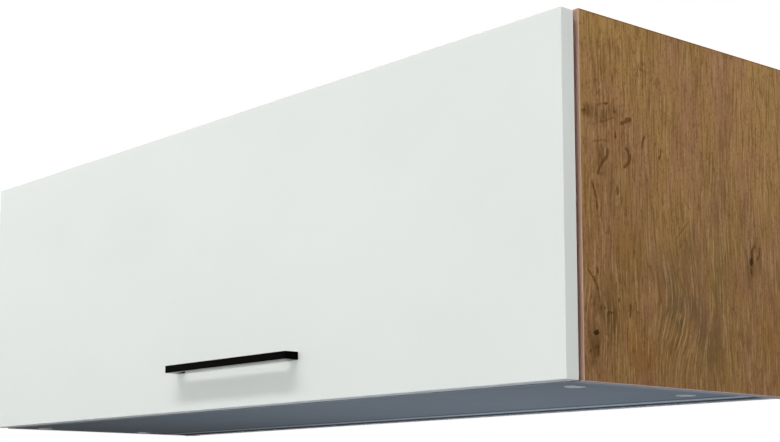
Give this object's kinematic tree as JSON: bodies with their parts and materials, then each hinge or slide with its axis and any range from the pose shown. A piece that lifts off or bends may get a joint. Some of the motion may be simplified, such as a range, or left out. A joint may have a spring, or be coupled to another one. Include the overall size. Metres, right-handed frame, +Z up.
{
  "type": "lift-up wall cabinet",
  "caption": "Wide low wall cabinet with an oak-look carcass and a white flap that lifts on concealed hinges and gas struts; black bow handle, hung on a wall rail.",
  "frame": {"origin": "on the wall plane, at the middle of the wall rail's back face", "axes": "+X along the width to the viewer's right, -Y out of the front (the flap), +Z up"},
  "size_m": [1, 0.337, 0.322],
  "materials": {
    "oak_decor": "matt foil with vertical grain",
    "grey_board": "matt melamine",
    "hardboard": "painted hardboard",
    "white_board": "smooth white foil",
    "zinc_steel": "zinc plated",
    "light_plastic": "moulded",
    "beech": "turned",
    "black_metal": "satin black",
    "clear_rubber": "soft",
    "dark_painted_steel": "satin",
    "black_plastic": "moulded",
    "polished_steel": "polished"
  },
  "bodies": {
    "carcass": {"side_panel_left": "oak_decor", "side_panel_right": "oak_decor", "top_panel": "grey_board", "bottom_panel": "grey_board", "back_panel": "hardboard", "side_edge_band_left": "oak_decor", "side_edge_band_right": "oak_decor", "top_edge_band": "grey_board", "bottom_edge_band": "grey_board", "cam_discs": "zinc_steel", "cam_bolts": "zinc_steel", "cam_covers": "light_plastic", "wood_dowels": "beech", "wall_rail": "zinc_steel", "hanger_case_left": "light_plastic", "hanger_case_right": "light_plastic", "hanger_hook_left": "zinc_steel", "hanger_hook_right": "zinc_steel", "hanger_adjust_screws": "zinc_steel", "hanger_case_screws": "zinc_steel", "hinge_plate_left": "zinc_steel", "hinge_plate_right": "zinc_steel", "hinge_plate_screws": "zinc_steel", "hinge_arm_left": "zinc_steel", "hinge_arm_right": "zinc_steel", "hinge_arm_screws": "zinc_steel", "strut_side_mount_left": "zinc_steel", "strut_side_mount_right": "zinc_steel", "strut_mount_screws": "zinc_steel"},
    "flap": {"flap_panel": "white_board", "flap_band_right": "white_board", "flap_band_left": "white_board", "flap_band_top": "white_board", "flap_band_bottom": "white_board", "hinge_cup_left": "zinc_steel", "hinge_cup_right": "zinc_steel", "hinge_cup_screws": "zinc_steel", "hinge_pivot_pins": "zinc_steel", "handle_bow": "black_metal", "handle_screws": "zinc_steel", "door_buffers": "clear_rubber", "strut_flap_bracket_left": "zinc_steel", "strut_flap_bracket_right": "zinc_steel", "strut_bracket_screws": "zinc_steel"},
    "strut_cylinder_left": {"strut_tube_left": "dark_painted_steel", "strut_gland_left": "black_plastic", "strut_tube_eye_left": "dark_painted_steel"},
    "strut_rod_left": {"strut_rod_left": "polished_steel", "strut_piston_left": "polished_steel", "strut_rod_eye_left": "polished_steel"},
    "strut_cylinder_right": {"strut_tube_right": "dark_painted_steel", "strut_gland_right": "black_plastic", "strut_tube_eye_right": "dark_painted_steel"},
    "strut_rod_right": {"strut_rod_right": "polished_steel", "strut_piston_right": "polished_steel", "strut_rod_eye_right": "polished_steel"}
  },
  "joints": [
    {"name": "flap_lift", "type": "hinge", "parent": "carcass", "child": "flap", "pos_m": [0, -0.311, 0.0505], "axis": [-1, 0, 0], "range_deg": [0, 90]},
    {"name": "strut_swing_left", "type": "hinge", "parent": "carcass", "child": "strut_cylinder_left", "pos_m": [-0.471, -0.11, 0.012], "axis": [1, 0, 0], "range_deg": [0, 2.4]},
    {"name": "strut_extend_left", "type": "slide", "parent": "strut_cylinder_left", "child": "strut_rod_left", "axis": [0, -0.9948, 0.1017], "range_m": [0, 0.0452]},
    {"name": "strut_swing_right", "type": "hinge", "parent": "carcass", "child": "strut_cylinder_right", "pos_m": [0.471, -0.11, 0.012], "axis": [1, 0, 0], "range_deg": [0, 2.4]},
    {"name": "strut_extend_right", "type": "slide", "parent": "strut_cylinder_right", "child": "strut_rod_right", "axis": [0, -0.9948, 0.1017], "range_m": [0, 0.0452]}
  ],
  "couplings": [
    {"joint": "strut_swing_left", "follows": "flap_lift", "ratio": 0.02613},
    {"joint": "strut_extend_left", "follows": "flap_lift", "m_per_rad": 0.028643},
    {"joint": "strut_swing_right", "follows": "flap_lift", "ratio": 0.02613},
    {"joint": "strut_extend_right", "follows": "flap_lift", "m_per_rad": 0.028643}
  ]
}
